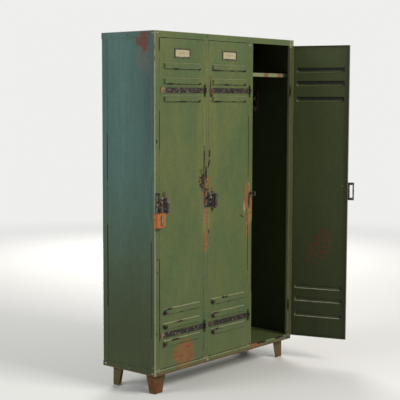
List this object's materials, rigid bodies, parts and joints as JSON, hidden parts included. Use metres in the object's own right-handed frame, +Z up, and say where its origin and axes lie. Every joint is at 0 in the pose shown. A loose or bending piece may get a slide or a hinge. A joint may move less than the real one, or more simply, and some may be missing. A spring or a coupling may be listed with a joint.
{
  "type": "locker cabinet",
  "caption": "Tall steel clothes locker with side-by-side hinged doors, louvres, strap hinges, hasps, hat shelves and coat hooks, on tapered angle feet.",
  "frame": {"origin": "floor level, at the middle of the footprint of the whole part as stored, with the right-hand door standing open", "axes": "+Z up, -Y out of the front, +X to the right as one faces the doors"},
  "size_m": [1.2531, 0.727, 1.8],
  "materials": {
    "cabinet_paint": "worn green paint, satin, chipped to dark steel and rust",
    "door_paint": "worn green paint, satin, chipped at edges and louvres",
    "inner_paint": "dull dark green paint",
    "foot_steel": "rusted orange over old green paint",
    "hinge_steel": "blackened steel worn to pinkish grey metal",
    "lock_steel": "blackened steel with polished wear",
    "grip_steel": "dark brown steel, worn smooth",
    "hook_steel": "blackened steel",
    "label_steel": "dark pressed steel",
    "card": "blank cream card",
    "shackle_steel": "dark worn steel",
    "padlock_paint": "orange lacquer, scuffed"
  },
  "bodies": {
    "carcass": {"top_cap": "cabinet_paint", "base_tray": "cabinet_paint", "side_panel_left": "cabinet_paint", "side_panel_right": "cabinet_paint", "corner_post_front_left": "cabinet_paint", "corner_post_front_right": "cabinet_paint", "corner_post_rear_left": "cabinet_paint", "corner_post_rear_right": "cabinet_paint", "back_panel": "inner_paint", "mid_post_1": "cabinet_paint", "divider_1": "inner_paint", "mid_post_2": "cabinet_paint", "divider_2": "inner_paint", "hat_shelf_1": "inner_paint", "hat_shelf_2": "inner_paint", "hat_shelf_3": "inner_paint", "foot_front_left": "foot_steel", "foot_front_right": "foot_steel", "foot_rear_left": "foot_steel", "foot_rear_right": "foot_steel", "coat_hook_1": "hook_steel", "coat_hook_2": "hook_steel", "coat_hook_3": "hook_steel", "hinge_leaf_upper_1": "hinge_steel", "hinge_leaf_lower_1": "hinge_steel", "hinge_leaf_upper_2": "hinge_steel", "hinge_leaf_lower_2": "hinge_steel", "hinge_leaf_upper_3": "hinge_steel", "hinge_leaf_lower_3": "hinge_steel"},
    "door_1_leaf": {"door_1": "door_paint", "strap_hinge_upper_1": "hinge_steel", "strap_hinge_lower_1": "hinge_steel", "label_holder_1": "label_steel", "hasp_plate_1": "lock_steel", "door_grip_1": "grip_steel"},
    "door_2_leaf": {"door_2": "door_paint", "strap_hinge_upper_2": "hinge_steel", "strap_hinge_lower_2": "hinge_steel", "label_holder_2": "label_steel", "hasp_plate_2": "lock_steel", "door_grip_2": "grip_steel"},
    "door_3_leaf": {"door_3": "door_paint", "strap_hinge_upper_3": "hinge_steel", "strap_hinge_lower_3": "hinge_steel", "label_holder_3": "label_steel", "hasp_plate_3": "lock_steel", "door_grip_3": "grip_steel"},
    "card_1": {"label_card_1": "card"},
    "card_2": {"label_card_2": "card"},
    "card_3": {"label_card_3": "card"},
    "staple_1": {"turning_staple_1": "lock_steel"},
    "staple_2": {"turning_staple_2": "lock_steel"},
    "staple_3": {"turning_staple_3": "lock_steel"},
    "shackle": {"padlock_shackle": "shackle_steel"},
    "padlock": {"padlock_body": "padlock_paint"}
  },
  "joints": [
    {"name": "door_1_hinge", "type": "hinge", "parent": "carcass", "child": "door_1_leaf", "pos_m": [-0.2326, -0.00817, 0.9], "axis": [0, 0, 1], "range_deg": [0, 0.8]},
    {"name": "door_2_hinge", "type": "hinge", "parent": "carcass", "child": "door_2_leaf", "pos_m": [0.1362, -0.00817, 0.9], "axis": [0, 0, 1], "range_deg": [0, 110]},
    {"name": "door_3_hinge", "type": "hinge", "parent": "carcass", "child": "door_3_leaf", "pos_m": [0.505, -0.00817, 0.9], "axis": [0, 0, 1], "range_deg": [-108, 50]},
    {"name": "card_1_slide", "type": "slide", "parent": "door_1_leaf", "child": "card_1", "axis": [0, 0, 1], "range_m": [0, 0.045]},
    {"name": "card_2_slide", "type": "slide", "parent": "door_2_leaf", "child": "card_2", "axis": [0, 0, 1], "range_m": [0, 0.045]},
    {"name": "card_3_slide", "type": "slide", "parent": "door_3_leaf", "child": "card_3", "axis": [0, 0, 1], "range_m": [0, 0.045]},
    {"name": "staple_1_turn", "type": "hinge", "parent": "carcass", "child": "staple_1", "pos_m": [-0.5879, -0.00067, 0.966], "axis": [0, 1, 0], "range_deg": [0, 90]},
    {"name": "staple_2_turn", "type": "hinge", "parent": "carcass", "child": "staple_2", "pos_m": [-0.2191, -0.00067, 0.966], "axis": [0, 1, 0], "range_deg": [0, 90]},
    {"name": "staple_3_turn", "type": "hinge", "parent": "carcass", "child": "staple_3", "pos_m": [0.1497, -0.00067, 0.966], "axis": [0, 1, 0], "range_deg": [0, 90]},
    {"name": "shackle_swing", "type": "hinge", "parent": "staple_1", "child": "shackle", "pos_m": [-0.5879, -0.02347, 0.966], "axis": [1, 0, 0], "range_deg": [-75, 4]},
    {"name": "padlock_pull", "type": "slide", "parent": "shackle", "child": "padlock", "axis": [0, 0, -1], "range_m": [0, 0.014]}
  ]
}
